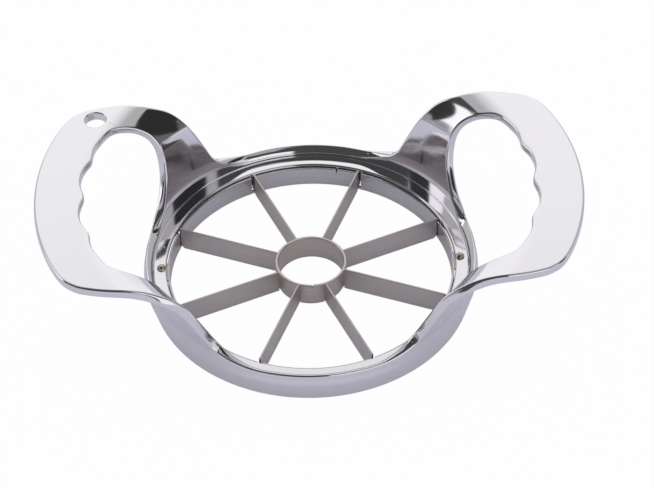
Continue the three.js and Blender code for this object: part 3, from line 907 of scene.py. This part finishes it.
# A pale floor and soft studio light. The camera sees the floor nearly white and the world white,
# and mirrors see the floor a little lighter than it is lit.
studio = {
    "floor": "#dad9ea",
    "floorSize": 60,         # metres
    "cameraShare": 0.98,     # how much of the floor is plain white to the camera
    "glossShare": 0.15,      # and to a mirror or through glass
    "plainLevel": 0.78,      # even light on everything that isn't a mirror
    "level": 0.07,           # what a mirror sees of the room beside the panels
    # Soft panels and dark gaps: bearing from +X and half width, lowest and highest elevation,
    # softness of the edges, all in degrees, how much both elevations grow with each degree of
    # bearing, and brightness. Later ones lie over earlier ones.
    "panels": [
        (0, 60, 60, 82, 8, 0, 0.45),           # above, to the right
        (60, 78, -20, 57, 4, 0, 0.5),          # the far side
        (91, 12, -20, 40, 22, 0, 1.05),        # its bright middle
        (147, 9, -20, 47, 4, 0, 0.55),         # far left
        (171, 17, -20, 48, 2.5, 0, 1.2),       # left
        (-25, 16, -20, 34, 4, 0, 0.75),        # right, a little to the front
        (-62, 18, -20, 36, 3, 0, 1.05),        # front right
        (-150, 26, -20, 12, 8, 0, 0.35),       # front left, low
        (-6, 10, 6, 18, 4, 0, 0.15),           # dim gap on the right, low
        (14, 25, 31, 64, 3, 0.95, 0.03),       # dark gap on the right
        (178, 14, 31.5, 58, 3, -1.45, 0.04),   # and on the left
    ],
}


def addFloor(look):
    half = look["floorSize"] / 2
    mesh = bpy.data.meshes.new("floor")
    mesh.from_pydata([(-half, -half, 0), (half, -half, 0), (half, half, 0), (-half, half, 0)], [],
                     [(0, 1, 2, 3)])
    floor = bpy.data.objects.new("floor", mesh)
    bpy.context.scene.collection.objects.link(floor)
    material, tree = newMaterial("paleFloor")
    seen = node(tree, "ShaderNodeLightPath")
    camera = node(tree, "ShaderNodeMath", {"operation": "MULTIPLY", 1: look["cameraShare"]},
                  _0=seen.outputs["Is Camera Ray"])
    bounced = node(tree, "ShaderNodeMath", {"operation": "MAXIMUM"},
                   _0=seen.outputs["Is Glossy Ray"], _1=seen.outputs["Is Transmission Ray"])
    share = node(tree, "ShaderNodeMath", {"operation": "MULTIPLY_ADD", 1: look["glossShare"]},
                 _0=bounced.outputs["Value"], _2=camera.outputs["Value"])
    diffuse = node(tree, "ShaderNodeBsdfDiffuse", {"Color": linear(look["floor"])})
    glow = node(tree, "ShaderNodeEmission", {"Color": linear("#ffffff"), "Strength": 1.0})
    mixed = node(tree, "ShaderNodeMixShader", _0=share.outputs["Value"],
                 _1=diffuse.outputs["BSDF"], _2=glow.outputs["Emission"])
    node(tree, "ShaderNodeOutputMaterial", Surface=mixed.outputs["Shader"])
    mesh.materials.append(material)
    floor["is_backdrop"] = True


addFloor(studio)
print("floor ready")


def lightWorld(look):
    # Each panel's mask is one inside its bearing and elevation limits and falls off smoothly
    # over its soft edge. The angle beside its bearing is the arc tangent of how far the
    # direction points across the bearing and along it.
    world = bpy.data.worlds.new("studio")
    bpy.context.scene.world = world
    world.use_nodes = True
    tree = world.node_tree
    tree.nodes.clear()
    way = node(tree, "ShaderNodeTexCoord").outputs["Generated"]
    upward = node(tree, "ShaderNodeSeparateXYZ", Vector=way)
    elevation = node(tree, "ShaderNodeMath", {"operation": "ARCSINE"}, _0=upward.outputs["Z"])
    light = node(tree, "ShaderNodeValue").outputs["Value"]
    light.default_value = look["level"]
    for bearing, half, low, high, soft, slant, strength in look["panels"]:
        turn = math.radians(bearing)
        along = node(tree, "ShaderNodeVectorMath", {
            "operation": "DOT_PRODUCT", 1: (math.cos(turn), math.sin(turn), 0)}, _0=way)
        across = node(tree, "ShaderNodeVectorMath", {
            "operation": "DOT_PRODUCT", 1: (-math.sin(turn), math.cos(turn), 0)}, _0=way)
        beside = node(tree, "ShaderNodeMath", {"operation": "ARCTAN2"},
                      _0=across.outputs["Value"], _1=along.outputs["Value"])
        away = node(tree, "ShaderNodeMath", {"operation": "ABSOLUTE"}, _0=beside.outputs["Value"])
        raised = node(tree, "ShaderNodeMath", {"operation": "MULTIPLY_ADD", 1: -slant},
                      _0=beside.outputs["Value"], _2=elevation.outputs["Value"])
        limits = ((away, half, half + soft), (raised, high, high + soft), (raised, low, low - soft))
        sides, upper, lower = (
            mapped(tree, source.outputs["Value"], (math.radians(inner), math.radians(outer)),
                   (1.0, 0.0), interpolation_type="SMOOTHSTEP")
            for source, inner, outer in limits)
        both = node(tree, "ShaderNodeMath", {"operation": "MULTIPLY"}, _0=sides, _1=upper)
        mask = node(tree, "ShaderNodeMath", {"operation": "MULTIPLY"},
                    _0=both.outputs["Value"], _1=lower)
        light = node(tree, "ShaderNodeMix", {"B": strength}, Factor=mask.outputs["Value"],
                     A=light).outputs["Result"]
    seen = node(tree, "ShaderNodeLightPath")
    light = node(tree, "ShaderNodeMix", {"B": look["plainLevel"]},
                 Factor=seen.outputs["Is Diffuse Ray"], A=light).outputs["Result"]
    soft = node(tree, "ShaderNodeBackground", {"Color": linear("#ffffff")}, Strength=light)
    white = node(tree, "ShaderNodeBackground", {"Color": linear("#ffffff"), "Strength": 1.0})
    mixed = node(tree, "ShaderNodeMixShader", _0=seen.outputs["Is Camera Ray"],
                 _1=soft.outputs["Background"], _2=white.outputs["Background"])
    node(tree, "ShaderNodeOutputWorld", Surface=mixed.outputs["Shader"])


lightWorld(studio)
print("light ready")
bpy.context.scene.view_settings.view_transform = "Standard"

low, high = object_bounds()
